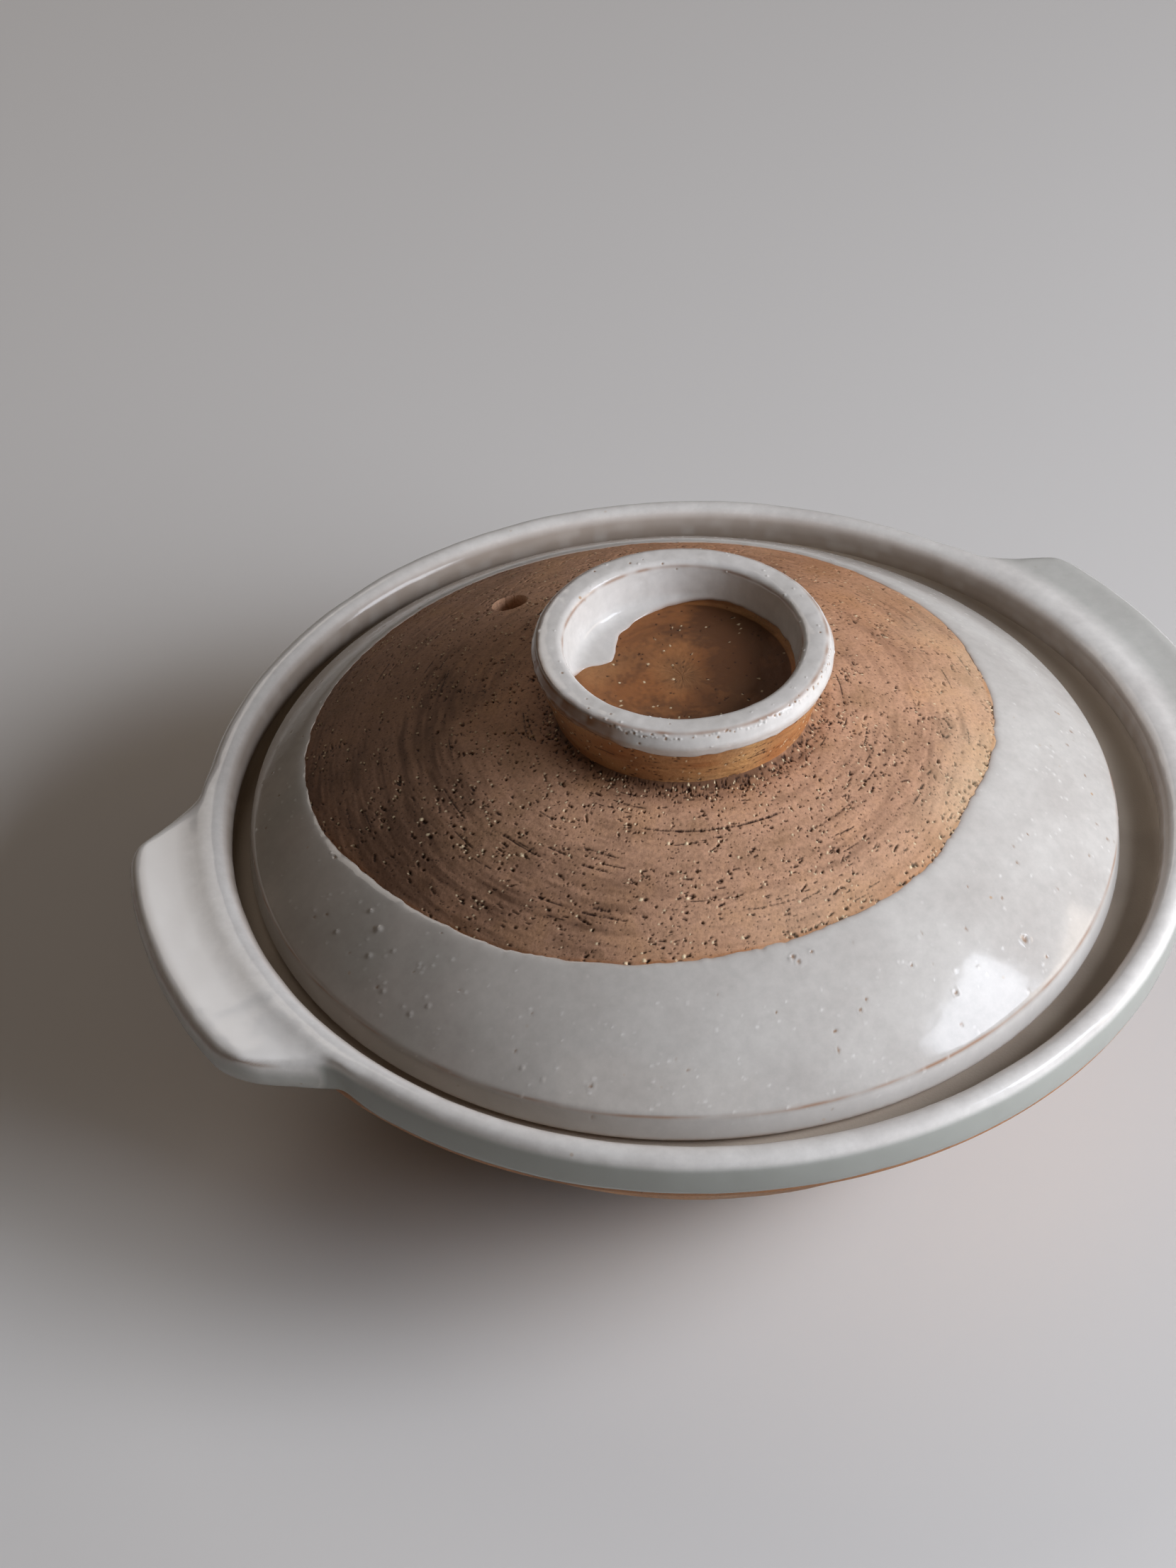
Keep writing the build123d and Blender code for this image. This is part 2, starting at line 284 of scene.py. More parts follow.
# underside, foot ring, wall, neck, collar, seat for the lid, inner wall, floor
bowl_line = half_section([
    (by_axis, foot_hollow, 0, 0), (foot_radius - foot_width - foot_hollow, foot_hollow, 0.6, 0),
    (foot_radius - foot_width, 0, 0.8, 0), (foot_radius, 0, 0.8, 0),
    (foot_radius + 2, wall_start, 0.5, 4.0), (neck_radius, neck_height, 2.4, 0),
    (rim_radius - glaze_thickness, collar_foot, 1.0, 0), (rim_radius - 1, collar_top, 0, 1.9),
    (rim_radius - 5, collar_top, 0.5, 0), (collar_inner, 50.8, 0.3, 0),
    (seat_outer, seat_height, 1.2, 0), (seat_inner, seat_height, 1.2, 0),
    (seat_inner, well_height, 0, -10.24), (floor_radius, floor_height, 0, 0),
    (by_axis, floor_height, 0, 0),
], 0.7)
bowl_angle = np.linspace(0, 2 * math.pi, 540, endpoint=False)[None, :]
bowl_radius = bowl_line[:, :1] + 0 * bowl_angle
bowl_height = bowl_line[:, 1:] + 0 * bowl_angle
outside = ((bowl_line[:, 1] > wall_start) & (bowl_line[:, 1] < collar_foot - 2)).astype(float)[:, None]
# the line's later rows run down the inside
outside[len(bowl_line) // 2 + 40:] = 0
bowl_spots = ring_grid(bowl_radius, bowl_height, bowl_angle)
# the thrower's finger ridges climb the wall in a spiral
ridge_gap = 2.6
spiral = np.sin(bowl_height / ridge_gap * 2 * math.pi + bowl_angle)
stretched = bowl_spots * [0.25, 0.25, 1.0]
bowl_radius = bowl_radius + outside * (0.10 * spiral + 0.12 * waver(stretched, 2.2, 5)
                                       + 0.05 * waver(bowl_spots, 0.9, 6))
# the ledge took smoke and ash in the kiln, so it is greyer and darker than the wall
on_ledge = (np.abs(bowl_line[:, :1] - 80) < 10) & (bowl_line[:, 1:] > 45)
bowl_soot = np.where(on_ledge, 0.06, 0.12) + 0.12 * waver(bowl_spots, 7, 8)
bowl_marks = {"ash": np.where(on_ledge, 0.95, 0.0) + 0 * bowl_soot, "soot": bowl_soot,
              "halo": np.where((bowl_height > collar_foot - 2) & ~on_ledge, 0.5, 0.0) + 0 * bowl_soot}
bowl_mesh = ring_mesh("bowl", ring_grid(bowl_radius, bowl_height, bowl_angle), cap_ends=True,
                      marks=bowl_marks)
placed("bowl_body", bowl_mesh, body_clay, "pot", ["bowl"])

# GLAZE INSIDE THE BOWL
# A milky feldspar glaze was poured in and out again, and covers the cooking surface up to the
# ledge. It is glass fused to the clay, about half a millimetre thick, with a rounded upper edge.


def milky_glaze(name, body_tone, thin_tone=None):
    """Glossy, slightly warm white glaze with specks and pinholes, thin and tan at its edges."""
    material, surface = new_material(name)
    links = material.node_tree.links
    place = add_node(material, "NewGeometry").outputs["Position"]
    # drifts of thicker and thinner glass about 20 mm across
    drift = add_node(material, "TexNoise",
                     {"Scale": 1 / 0.02, "Detail": 4, "Roughness": 0.55}, {"Vector": place})
    colour = add_node(material, "ValToRGB",
                      {"stops": [(0.34, body_tone[0]), (0.62, body_tone[1])]},
                      {"Fac": drift.outputs["Fac"]}).outputs["Color"]
    # a curdled look of about 2 mm in the depth of the glass
    curd = add_node(material, "TexNoise",
                    {"Scale": 1 / 0.0022, "Detail": 4, "Roughness": 0.65}, {"Vector": place})
    shade = add_node(material, "ValToRGB", {"stops": [(0.3, 0.93), (0.7, 1.05)]},
                     {"Fac": curd.outputs["Fac"]}).outputs["Color"]
    curdled = add_node(material, "Mix",
                       {"data_type": "RGBA", "blend_type": "MULTIPLY", "Factor": 1},
                       {6: colour, 7: shade}).outputs[2]
    # tan specks of iron, up to 0.9 mm across, that melt up from the clay
    specks = add_node(material, "TexVoronoi", {"Scale": 1 / 0.0045}, {"Vector": place})
    few = add_node(material, "TexNoise", {"Scale": 1 / 0.009, "Detail": 2}, {"Vector": place})
    dots = add_node(material, "ValToRGB", {"stops": [(0.05, 1.0), (0.10, 0.0)]},
                    {"Fac": specks.outputs["Distance"]}).outputs["Color"]
    gate = add_node(material, "ValToRGB", {"stops": [(0.56, 0.0), (0.66, 1.0)]},
                    {"Fac": few.outputs["Fac"]}).outputs["Color"]
    weight = add_node(material, "Math", {"operation": "MULTIPLY"}, {0: dots, 1: gate})
    speckled = add_node(material, "Mix", {"data_type": "RGBA", 7: linear("#b39a80")},
                        {"Factor": weight.outputs[0], 6: curdled}).outputs[2]
    # gas bubbles of 0.3 to 0.9 mm under the skin, paler than the glass round them
    bubbles = add_node(material, "TexVoronoi", {"Scale": 1 / 0.0031}, {"Vector": place})
    rings = add_node(material, "ValToRGB", {"stops": [(0.05, 0.34), (0.14, 0.0)]},
                     {"Fac": bubbles.outputs["Distance"]}).outputs["Color"]
    here = add_node(material, "Math", {"operation": "MULTIPLY"}, {0: rings, 1: curd.outputs["Fac"]})
    colour = add_node(material, "Mix", {"data_type": "RGBA", 7: linear("#e6e4df")},
                      {"Factor": here.outputs[0], 6: speckled}).outputs[2]
    if thin_tone:
        # grey and bare lay painted shade; pool lays pale glass beads and painted light
        colour = over_marks(material, colour, (
            ("thin", thin_tone), ("pinhole", "#8d7057"), ("pool", "#e9e6e1"),
            ("grey", "#94968f"), ("bare", "#9d9186")))
    links.new(colour, surface.inputs["Base Color"])
    surface.inputs["Roughness"].default_value = 0.115
    surface.inputs["IOR"].default_value = 1.5
    surface.inputs["Specular IOR Level"].default_value = 0.42
    # orange peel of about 3 mm
    peel = add_node(material, "TexNoise",
                    {"Scale": 1 / 0.003, "Detail": 2, "Roughness": 0.5}, {"Vector": place})
    bump = add_node(material, "Bump", {"Strength": 0.2, "Distance": 0.00012},
                    {"Height": peel.outputs["Fac"]})
    links.new(bump.outputs["Normal"], surface.inputs["Normal"])
    return material


inside_glaze = milky_glaze("milky_glaze_inside", ("#cfcac3", "#d8d4ce"))
inside_line = half_section([
    (seat_inner - 0.05, well_height - 0.3, 0, 0), (seat_inner - glaze_thickness, well_height, 0.2, -10.1),
    (floor_radius, floor_height + glaze_thickness, 0, 0), (by_axis, floor_height + glaze_thickness, 0, 0),
], 0.8)
inside_grid = ring_grid(inside_line[:, :1], inside_line[:, 1:], bowl_angle)
placed("bowl_inner_glaze", ring_mesh("bowl_inner_glaze", inside_grid, cap_ends=False),
       inside_glaze, "pot", ["bowl_glaze"])

# RIM AND HANDLES UNDER GLAZE
# The collar's lip and the two lugs pressed on to it were glazed in one go, so the glaze runs
# over their joints as one soft skin. It stops a little above the collar's lower edge.


def ramp(values, start, width):
    """From 0 at start to 1 a width further on. With a width below zero it runs the other way."""
    return np.clip((values - start) / width, 0, 1)


def ridge(values, at, width):
    """1 at a value, fading softly to both sides."""
    return np.exp(-((values - at) / width) ** 2)


def patchy(points, size, seed, middle, swing):
    """Strength from 0 to 1 that wavers round a middle value."""
    return np.clip(middle + swing * waver(points, size, seed), 0, 1)


def evaluated_mesh(piece):
    """A piece's mesh with its modifiers applied."""
    graph = bpy.context.evaluated_depsgraph_get()
    return bpy.data.meshes.new_from_object(piece.evaluated_get(graph))


def vertex_values(mesh, key):
    """The points or normals of a mesh, a row for each vertex."""
    values = np.empty(len(mesh.vertices) * 3, np.float32)
    mesh.vertices.foreach_get(key, values)
    return values.reshape(-1, 3)


lip_top, coat_inner = 57.2, 88.6
lug_turn, lug_reach = 3.2, round(float(cad_high[0]) / mm, 1)
lug_half, lug_taper, taper_length = 76.5, 0.4237, 1.086
lug_dish, lug_edge, lug_corner = 53.2, 2.6, 5
slip_start = 93.6

rim_line = half_section([
    (rim_radius - 3, collar_foot, 0, 0), (rim_radius - 0.7, collar_foot, 0, 0),
    (rim_radius, collar_foot + 0.6, 0.6, 0), (rim_radius + 0.1, lip_top - 1.3, 2.0, 0),
    (rim_radius - 1.6, lip_top, 1.4, 0), (rim_radius - 3.8, lip_top - 0.1, 1.6, 0),
    (coat_inner, lip_top - 2.3, 1.6, 0), (coat_inner, 50.9, 0.5, 0),
    (collar_inner, 50.6, 0.3, 0), (collar_inner, seat_height + 0.1, 0, 0),
], 0.5)
rim_angle = np.linspace(0, 2 * math.pi, 720, endpoint=False)[None, :]
rim_ring = ring_mesh("rim_ring", ring_grid(rim_line[:, :1], rim_line[:, 1:], rim_angle), closed=True)
rim_parts = [bpy.data.objects.new("rim_ring", rim_ring)]
for side in ("left_handle", "right_handle"):
    rim_parts.append(bpy.data.objects.new(side + "_skin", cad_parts[side].data.copy()))
bpy.ops.object.select_all(action="DESELECT")
for part in rim_parts:
    scene.collection.objects.link(part)
    part.select_set(True)
bpy.context.view_layer.objects.active = rim_parts[0]
bpy.ops.object.join()
rim_skin = bpy.context.view_layer.objects.active
fused = rim_skin.modifiers.new("fused", "REMESH")
fused.mode = "VOXEL"
fused.voxel_size = 0.45 * mm
melted = rim_skin.modifiers.new("melted", "SMOOTH")
melted.factor = 0.5
melted.iterations = 30
rim_mesh = evaluated_mesh(rim_skin)
rim_points = vertex_values(rim_mesh, "co") / mm
# slip was wiped into the corner between lip and lug, so that the one slopes gently into the other
slope = half_section([(slip_start, lip_top - 0.1, 0, 0), (97.5, 56.0, 2, 0), (102.0, 55.4, 3, 0),
                      (lug_reach, 55.3, 0, 0)], 0.2)
for axis in (lug_turn, 180 - lug_turn):
    ahead = np.array([math.cos(math.radians(axis)), math.sin(math.radians(axis))])
    beside = np.array([-ahead[1], ahead[0]])
    along, across = rim_points[:, :2] @ ahead, rim_points[:, :2] @ beside
    out_from, height = np.hypot(along, across), rim_points[:, 2]
    from_side = (lug_half - np.abs(across) - lug_taper * along) / taper_length
    from_tip = lug_reach - out_from
    near_side, outer = ramp(from_side, 0, 4.5), ramp(out_from, slip_start, 9)
    by_lip = ramp(from_side, -5, 5) * ramp(out_from, 107, -9)
    share = 1 - np.prod([1 - part ** 2 * (3 - 2 * part) for part in (near_side, outer, by_lip)], axis=0)
    wanted = np.interp(out_from, slope[:, 0], slope[:, 1])
    # the rounded edges keep their shape as they rise, and the dish between them is filled
    edge = ramp(np.minimum(from_side, from_tip), 0, lug_edge)
    lifted = (1 - edge) * (wanted - lug_dish) + edge * (wanted - height)
    rise = np.maximum(np.minimum(wanted - height, lifted), 0) * share
    on_lug = (along > 0) & (from_side > np.where(out_from < 102, -5, -0.5)) & (out_from > slip_start)
    rim_points[:, 2] += np.where(on_lug, rise * ramp(height, 47.5, 3.5), 0)
    # thumb and sponge rounded the lug's two corners
    past_tip, past_side = lug_corner - from_tip, lug_corner - from_side
    apart = np.maximum(np.hypot(past_tip, past_side), lug_corner)
    pull = np.where((past_tip > 0) & (past_side > 0) & (along > 0), 1 - lug_corner / apart, 0)
    to_side = (lug_taper * ahead + np.sign(across)[:, None] * beside) / taper_length
    rim_points[:, :2] -= (pull * past_tip / out_from)[:, None] * rim_points[:, :2]
    rim_points[:, :2] -= (pull * past_side)[:, None] * to_side
rim_mesh.vertices.foreach_set("co", (rim_points * mm).astype(np.float32).reshape(-1))
rim_mesh.update()
rim_skin.data = rim_mesh
rim_mesh = evaluated_mesh(rim_skin)
rim_mesh.name = "rim_glaze"
bpy.data.objects.remove(rim_skin)
rim_mesh.shade_smooth()
rim_points = vertex_values(rim_mesh, "co") / mm
rim_normals = vertex_values(rim_mesh, "normal")
# the glass lies a little unevenly over the clay
rim_points += rim_normals * (0.09 * waver(rim_points, 9, 21) + 0.03 * waver(rim_points, 3, 22))[:, None]
rim_mesh.vertices.foreach_set("co", (rim_points * mm).astype(np.float32).reshape(-1))
from_axis, level, upward = np.hypot(*rim_points.T[:2]), rim_points[:, 2], rim_normals[:, 2]
inward = -(rim_points[:, 0] * rim_normals[:, 0] + rim_points[:, 1] * rim_normals[:, 1]) / from_axis
collar_outside, collar_inside = from_axis > 93, from_axis < 92
# it is thin and warm on the lip's inner crest, and thinner still along the lugs' outer edges
lower = 0.75 * ramp(level, collar_foot + 0.6, -0.35) * collar_outside
crest = 0.2 * ridge(inward, 0.75, 0.28) * (level > 53) * collar_inside
edge = 0.85 * ridge(upward, 0.42, 0.15) * ramp(from_axis, 101, 4)
# painted shade: grey on the collar's wall below the lip, and on the lugs' sides and undersides
shade_under_lip = 0.95 * ramp(level, 55.6, -1.1) * ramp(upward, 0.75, -0.35)
shade_under_lip *= collar_outside * ramp(from_axis, 97.5, -1.5)
shade_under_lug = 0.6 * ramp(upward, 0.25, -0.3) * (from_axis > 97)
lug_top = ramp(from_axis, 95.5, 4) * ramp(upward, 0.75, 0.15)
# painted shade: the right lug's top is greyer, as it tilts away from the window
shade_right_lug = 0.5 * lug_top * (rim_points[:, 0] > 0)
mark_mesh(rim_mesh, {
    "thin": np.maximum(lower, crest),
    "pinhole": edge * patchy(rim_points, 7, 23, 0.8, 0.4),
    "grey": np.max([shade_under_lip, shade_under_lug, shade_right_lug], axis=0),
    # painted light: the left lug's top is paler than the right one, standing for the bright reflection it
    # catches
    "pool": 0.9 * lug_top * (rim_points[:, 0] < 0),
    # painted shade: the collar's inside wall is darker, as it lies in the shaded channel round the lid
    "bare": ramp(inward, 0.55, 0.3) * collar_inside * patchy(rim_points, 2.5, 24, 0.95, 0.2)})
rim_finish = milky_glaze("milky_glaze_rim", ("#cac6c1", "#d3d0cb"), "#ad8363")
placed("rim_and_handle_glaze", rim_mesh, rim_finish, "pot",
       ["rim_glaze", "left_handle", "right_handle"])

# LID OF BARE CLAY
# The lid was thrown, then turned with a metal tool while stiff. The tool tore coarse grog out
# of the clay, which left open pits with a pale grain beside each, and dragged some along.

lid_centre = (-2.0, 0.9)
lid_edge, crease_height, lid_foot = 82.95, 55.4, 76.5
shoulder_radius, shoulder_height = 64.0, 68.2
knob_foot, knob_foot_height, crown_height = 24.5, 82.104, 84.47
flank = [(lid_edge - 0.6, crease_height, 0.8, 0.7), (shoulder_radius, shoulder_height, 0, 1.527)]
lid_outside = half_section([
    (lid_foot, seat_height, 0, 0), (lid_edge, seat_height, 2.0, 0), *flank,
    (knob_foot, knob_foot_height, 0, 0.594), (by_axis, crown_height, 0, 0),
], 0.23)
lid_inside = half_section([
    (by_axis, crown_height - 5.5, 0, -0.55), (24.0, 76.6, 0, -1.45), (62.6, 62.75, 0, -0.55),
    (lid_foot - 1, seat_height + 0.8, 0.5, 0), (lid_foot, seat_height, 0, 0),
], 1.3)


def turned_skin(line, columns, seed):
    """The outside of a turned piece, ready to be marked: its rows run along the outline."""
    angle = np.linspace(0, 2 * math.pi, columns, endpoint=False)[None, :]
    run = run_along(line)
    skin = {"radius": line[:, 0], "height": line[:, 1], "facing": section_normals(line), "run": run,
            "angle": angle, "columns": columns}
    spots = skin["spots"] = ring_grid(line[:, :1], line[:, 1:], angle)
    # ridges of the turning tool: long in the direction of turning, under a millimetre across it
    around = ring_grid(14.0, run[:, None], angle)
    skin["relief"] = (0.05 * waver(around * [0.5, 0.5, 1], 0.8, seed)
                      + 0.045 * waver(around, 2.6, seed + 1)
                      + 0.03 * waver(spots, 0.8, seed + 2) + 0.06 * waver(spots, 6, seed + 3))
    for mark in ("pit", "grain", "halo"):
        skin[mark] = np.zeros_like(skin["relief"])
    # streaks of darker clay that the turning tool dragged round
    streaks = (waver(around * [0.35, 0.35, 1], 1.6, seed + 4) + 0.7 * waver(around, 5, seed + 5)
               + 1.1 * waver(around * [0.55, 0.55, 1], 0.62, seed + 7))
    skin["soot"] = np.clip(0.17 * streaks + 0.24 * waver(spots, 12, seed + 6) + 0.03, 0, 0.5)
    return skin


def tear(skin, at_run, angle, length, width, depth, tilt=0.0, pale=0.0):
    """One open pit with its dragged tail, and a pale grain of grog at its clockwise end."""
    reach = length * 0.75 + 0.8
    first, last = np.searchsorted(skin["run"], (at_run - reach, at_run + reach))
    radius = float(np.interp(at_run, skin["run"], skin["radius"]))
    per_column = 2 * math.pi * radius / skin["columns"]
    column, wide = angle / (2 * math.pi) * skin["columns"], reach / per_column
    rows = np.arange(first, last)[:, None]
    columns = np.arange(int(column - wide), int(column + wide) + 2)[None, :]
    along, across = (columns - column) * per_column, skin["run"][rows] - at_run
    here = (rows, columns % skin["columns"])
    u = along * math.cos(tilt) + across * math.sin(tilt)
    v = across * math.cos(tilt) - along * math.sin(tilt)
    ragged = 0.5 * waver(skin["spots"][here], 0.42, 41)
    hole = np.clip(1.8 * (1 - np.sqrt((u / (length / 2)) ** 2 + (v / (width / 2)) ** 2) + ragged), 0, 1)
    skin["pit"][here] = np.maximum(skin["pit"][here], hole)
    skin["relief"][here] -= depth * hole
    if pale:
        grit = ragged + 0.4 * waver(skin["spots"][here], 0.25, 42)
        lump = np.clip(1.15 - np.hypot(u + length / 2, v) / pale - 0.9 * grit, 0, 1)
        bright = np.clip(lump * 2.0, 0, 1)
        skin["grain"][here] = np.maximum(skin["grain"][here], bright)
        skin["pit"][here] *= 1 - bright
        skin["relief"][here] += 0.14 * lump


def raised(skin, centre):
    """The skin's points once its relief is added."""
    out = skin["relief"]
    return ring_grid(skin["radius"][:, None] + skin["facing"][:, :1] * out,
                     skin["height"][:, None] + skin["facing"][:, 1:] * out, skin["angle"], centre)


def towards(angle, degrees):
    """1 in one direction from the axis, down to 0 a quarter turn away."""
    return np.clip(np.cos(angle - math.radians(degrees)), 0, 1)


# under the knob the rows may be wide apart
lid_outside = np.array([p for n, p in enumerate(lid_outside) if p[0] > 22.5 or n % 8 == 0])
dome = turned_skin(lid_outside, 1800, 31)


def dome_run(radius):
    """How far along the lid's outline a radius of its dome lies."""
    first = int(np.argmin(np.abs(dome["height"] - crease_height)))
    return np.interp(-radius, -dome["radius"][first:], dome["run"][first:])


chance = np.random.default_rng(7)

# where the glaze band ends, as shares of a mean radius, every 15 degrees from the right handle on
band_mean = 64.5
band_edge_shares = [
    0.965, 1.010, 1.025, 1.050, 1.050, 1.055, 1.085, 1.115, 1.130, 1.140, 1.125, 1.090,
    1.035, 0.997, 0.972, 0.941, 0.916, 0.895, 0.882, 0.878, 0.876, 0.867, 0.899, 0.932,
]


def round_trip(shares, angle):
    """Smooth values between equal steps round a circle."""
    values = np.array(shares)
    place = np.asarray(angle) / (2 * math.pi) * len(values)
    i = np.floor(place).astype(int)
    t = place - i
    a, b, c, d = (values[(i + k) % len(values)] for k in (-1, 0, 1, 2))
    return b + 0.5 * t * (c - a + t * (2 * a - 5 * b + 4 * c - d + t * (3 * (b - c) + d - a)))


def band_radius(angle):
    """Where the glaze band's upper edge lies, without its small wavers."""
    return band_mean * round_trip(band_edge_shares, angle)


for n in range(6600):
    radius, at = math.sqrt(chance.uniform(25.5 ** 2, 73 ** 2)), chance.uniform(0, 2 * math.pi)
    crowd = waver([[radius * math.cos(at), radius * math.sin(at), 3.0]], 4.5, 46)[0]
    length = chance.uniform(0.35, 1.2) * (2.0 if chance.random() < 0.2 else 1)
    width, depth = chance.uniform(0.24, 0.56), chance.uniform(0.18, 0.45)
    tilt, pale = chance.normal(0, 0.3), chance.uniform(0.11, 0.2) if chance.random() < 0.5 else 0
    if radius < band_radius(at) + 0.3 and crowd + chance.uniform(-0.5, 0.5) > 0.05:
        tear(dome, dome_run(radius), at, length, width, depth, tilt, pale)
for n in range(9000):
    radius, at = math.sqrt(chance.uniform(25.2 ** 2, 73 ** 2)), chance.uniform(0, 2 * math.pi)
    length, width, tilt = chance.uniform(0.22, 0.6), chance.uniform(0.16, 0.3), chance.normal(0, 0.5)
    if radius < band_radius(at):
        tear(dome, dome_run(radius), at, length, width, 0.09, tilt)
# more pits close to the knob, where slip and grit gathered
for n in range(1000):
    radius, at = 24.6 + abs(chance.normal(0, 2.0)), chance.uniform(0, 2 * math.pi)
    tear(dome, dome_run(radius), at, chance.uniform(0.3, 1.0), chance.uniform(0.2, 0.5), 0.22,
         chance.normal(0, 0.5), chance.uniform(0.12, 0.2) if chance.random() < 0.14 else 0)


def score(skin, at_run, start, end, width, depth, drift=0.0):
    """A groove that a hard grain cut as the piece turned under the tool, angles in degrees."""
    first, last = math.radians(start), math.radians(end)
    radius = float(np.interp(at_run, skin["run"], skin["radius"]))
    for part in np.linspace(0, 1, max(2, int(abs(last - first) * radius / 0.45))):
        tear(skin, at_run + drift * part, first + part * (last - first), 0.9,
             width * (0.75 + 0.5 * chance.random()), depth)


for n in range(70):
    radius, start = chance.uniform(27, 68), chance.uniform(0, 360)
    length, width = chance.uniform(2.5, 6.5), chance.uniform(0.16, 0.36)
    if radius < band_radius(math.radians(start)) - 1:
        score(dome, dome_run(radius), start, start + math.degrees(length / radius), width, 0.05,
              chance.normal(0, 0.3))
# the longest grooves: radius, first and last angle, width
for radius, start, end, width in (
        (34.1, 232, 275, 0.5), (39.6, 280, 296, 0.3), (38.9, 297, 311, 0.28), (46.0, 284, 290, 0.3),
        (52.2, 224, 233, 0.42), (51.0, 226, 229, 0.8), (43.8, 220, 226, 0.45), (42.6, 225, 230, 0.35),
        (43.0, 210, 216, 0.5), (52.0, 214, 217, 0.35), (46.6, 173, 196, 0.22), (45.2, 198, 209, 0.55),
        (47.6, 176, 186, 0.3), (36.7, 246, 251, 0.2), (50.5, 262, 268, 0.3)):
    score(dome, dome_run(radius), start, end, width, 0.16)
# coarse pits follow the glaze's edge at the front and right
for n in range(110):
    at = math.radians(chance.uniform(262, 350))
    radius = band_radius(at) - 0.1 - abs(chance.normal(0, 0.6))
    tear(dome, dome_run(radius), at, chance.uniform(0.4, 1.2), chance.uniform(0.3, 0.6), 0.3,
         chance.normal(0, 0.4), chance.uniform(0.14, 0.22) if chance.random() < 0.5 else 0)
# painted glints: more pale grain marks on the dome's right, which faces the window
spots, dome_radius = dome["spots"], dome["radius"][:, None]
painted_glints_right = towards(dome["angle"], 318) ** 2 * ramp(dome_radius, 46, 14)
dome["grain"] = np.maximum(dome["grain"], 0.5 * painted_glints_right * patchy(spots, 9, 48, 0.8, 0.4))
# the deepest pits, each with its grain: radius, angle, length, width
for radius, degrees, length, width in (
        (36.7, 241, 1.0, 0.6), (36.7, 246, 1.0, 0.6), (47.9, 236, 1.3, 0.7), (47.4, 246, 1.0, 0.6),
        (55.3, 256, 1.4, 0.7), (57.8, 245, 1.2, 0.6), (59.6, 235, 1.0, 0.6), (58.8, 238, 1.2, 0.6),
        (40.6, 303, 1.3, 0.8), (54.9, 294, 1.6, 0.8), (54.9, 304, 1.2, 0.6), (55.0, 312, 1.2, 0.8),
        (46.5, 206, 1.2, 0.8), (53.5, 181, 2.0, 0.9), (54.2, 185, 1.6, 0.6)):
    tear(dome, dome_run(radius), math.radians(degrees), length, width, 0.4, 0.1, 0.32)
# the orange line where glass soaked into the clay just beyond the glaze
from_glaze = band_radius(dome["angle"]) - dome_radius
soaked = ridge(from_glaze, 0.1, 0.32) * patchy(spots, 5, 44, 0.5, 0.5)
soaked += 0.35 * ridge(from_glaze, 0, 3.5) * patchy(spots, 16, 45, 0.4, 1)
by_knob = ramp(dome_radius, 31.9, -7.5) ** 2
# the fire toasted the dome's back right to orange
toasted = 0.5 * towards(dome["angle"], 40) ** 4 * ramp(dome_radius, 26, 20)
toasted = toasted * patchy(spots, 10, 49, 0.9, 0.4)
dome["halo"] = np.clip(np.maximum(np.maximum(soaked, toasted), 0.35 * by_knob), 0, 1)
# a small roll of slip was pressed into the corner between knob and dome
dome["relief"] += 1.2 * ramp(dome_radius, 26.8, -2.8) ** 2
# round the knob the clay is darker, partly from smoke and slip and partly as a painted shadow of the knob,
# most at the front left
smoke_and_shadow = by_knob * (0.55 + 0.6 * np.cos(dome["angle"] - math.radians(222)) + 0.3 * waver(spots, 0.9, 47))
# painted shade: the dome's far left, which turns away from the lamps, is darker towards the glaze
shaded_far_left = towards(dome["angle"], 165) * ramp(dome_radius, 34, 24)
dome["soot"] = np.clip(dome["soot"] + 0.85 * smoke_and_shadow + 0.68 * shaded_far_left, 0, 0.85)

inner = ring_grid(lid_inside[:-1, :1], lid_inside[:-1, 1:], dome["angle"], lid_centre)
lid_marks = {mark: np.concatenate([dome[mark], np.zeros(inner.shape[:2])])
             for mark in ("pit", "grain", "halo", "soot")}
lid_mesh = ring_mesh("lid", np.concatenate([raised(dome, lid_centre), inner]), closed=True,
                     marks=lid_marks)
lid_clay = bare_clay("turned_stoneware_lid", "#ba9175", "#be9370", "#a17d60")
lid_piece = placed("lid_dome", lid_mesh, lid_clay, "lid", ["lid"])

# the steam hole, bored upright through the soft clay from well above it to well below
hole_angle, hole_from_axis, hole_radius = math.radians(105.2), 51.7, 3.5
hole_centre = (lid_centre[0] + hole_from_axis * math.cos(hole_angle),
               lid_centre[1] + hole_from_axis * math.sin(hole_angle))
drill_angle = np.linspace(0, 2 * math.pi, 48, endpoint=False)[None, :]
drill = bpy.data.objects.new("drill", ring_mesh("drill", ring_grid(
    hole_radius, np.array([[40.0], [110.0]]), drill_angle, hole_centre), cap_ends=True))
scene.collection.objects.link(drill)
bored = lid_piece.modifiers.new("steam_hole", "BOOLEAN")
bored.operation = "DIFFERENCE"
bored.solver = "MANIFOLD"
bored.object = drill
lid_bored = evaluated_mesh(lid_piece)
lid_piece.modifiers.clear()
lid_piece.data = lid_bored
bpy.data.objects.remove(drill)

# GLAZE BAND ROUND THE LID
# The lid's edge was dipped in the milky glaze while tilted, so the band is wider on one side and
# its upper edge wavers. The glass ends in a low rounded bead and is thin over the sharp crease.


def on_line(line, at):
    """Radius, height and outward direction at distances along a line."""
    run = run_along(line)
    return [np.interp(at, run, values) for values in (*line.T, *section_normals(line).T)]


def around_spot(angle, radius, run, at, along_run, reach):
    """The columns round a spot of a coat, and how far from it each of their points lies."""
    columns = (int(at / (2 * math.pi) * len(angle)) + np.arange(-reach, reach + 1)) % len(angle)
    turn = (angle[columns] - at + math.pi) % (2 * math.pi) - math.pi
    return columns, np.hypot(turn[None, :] * radius[:, columns], run[:, columns] - along_run)


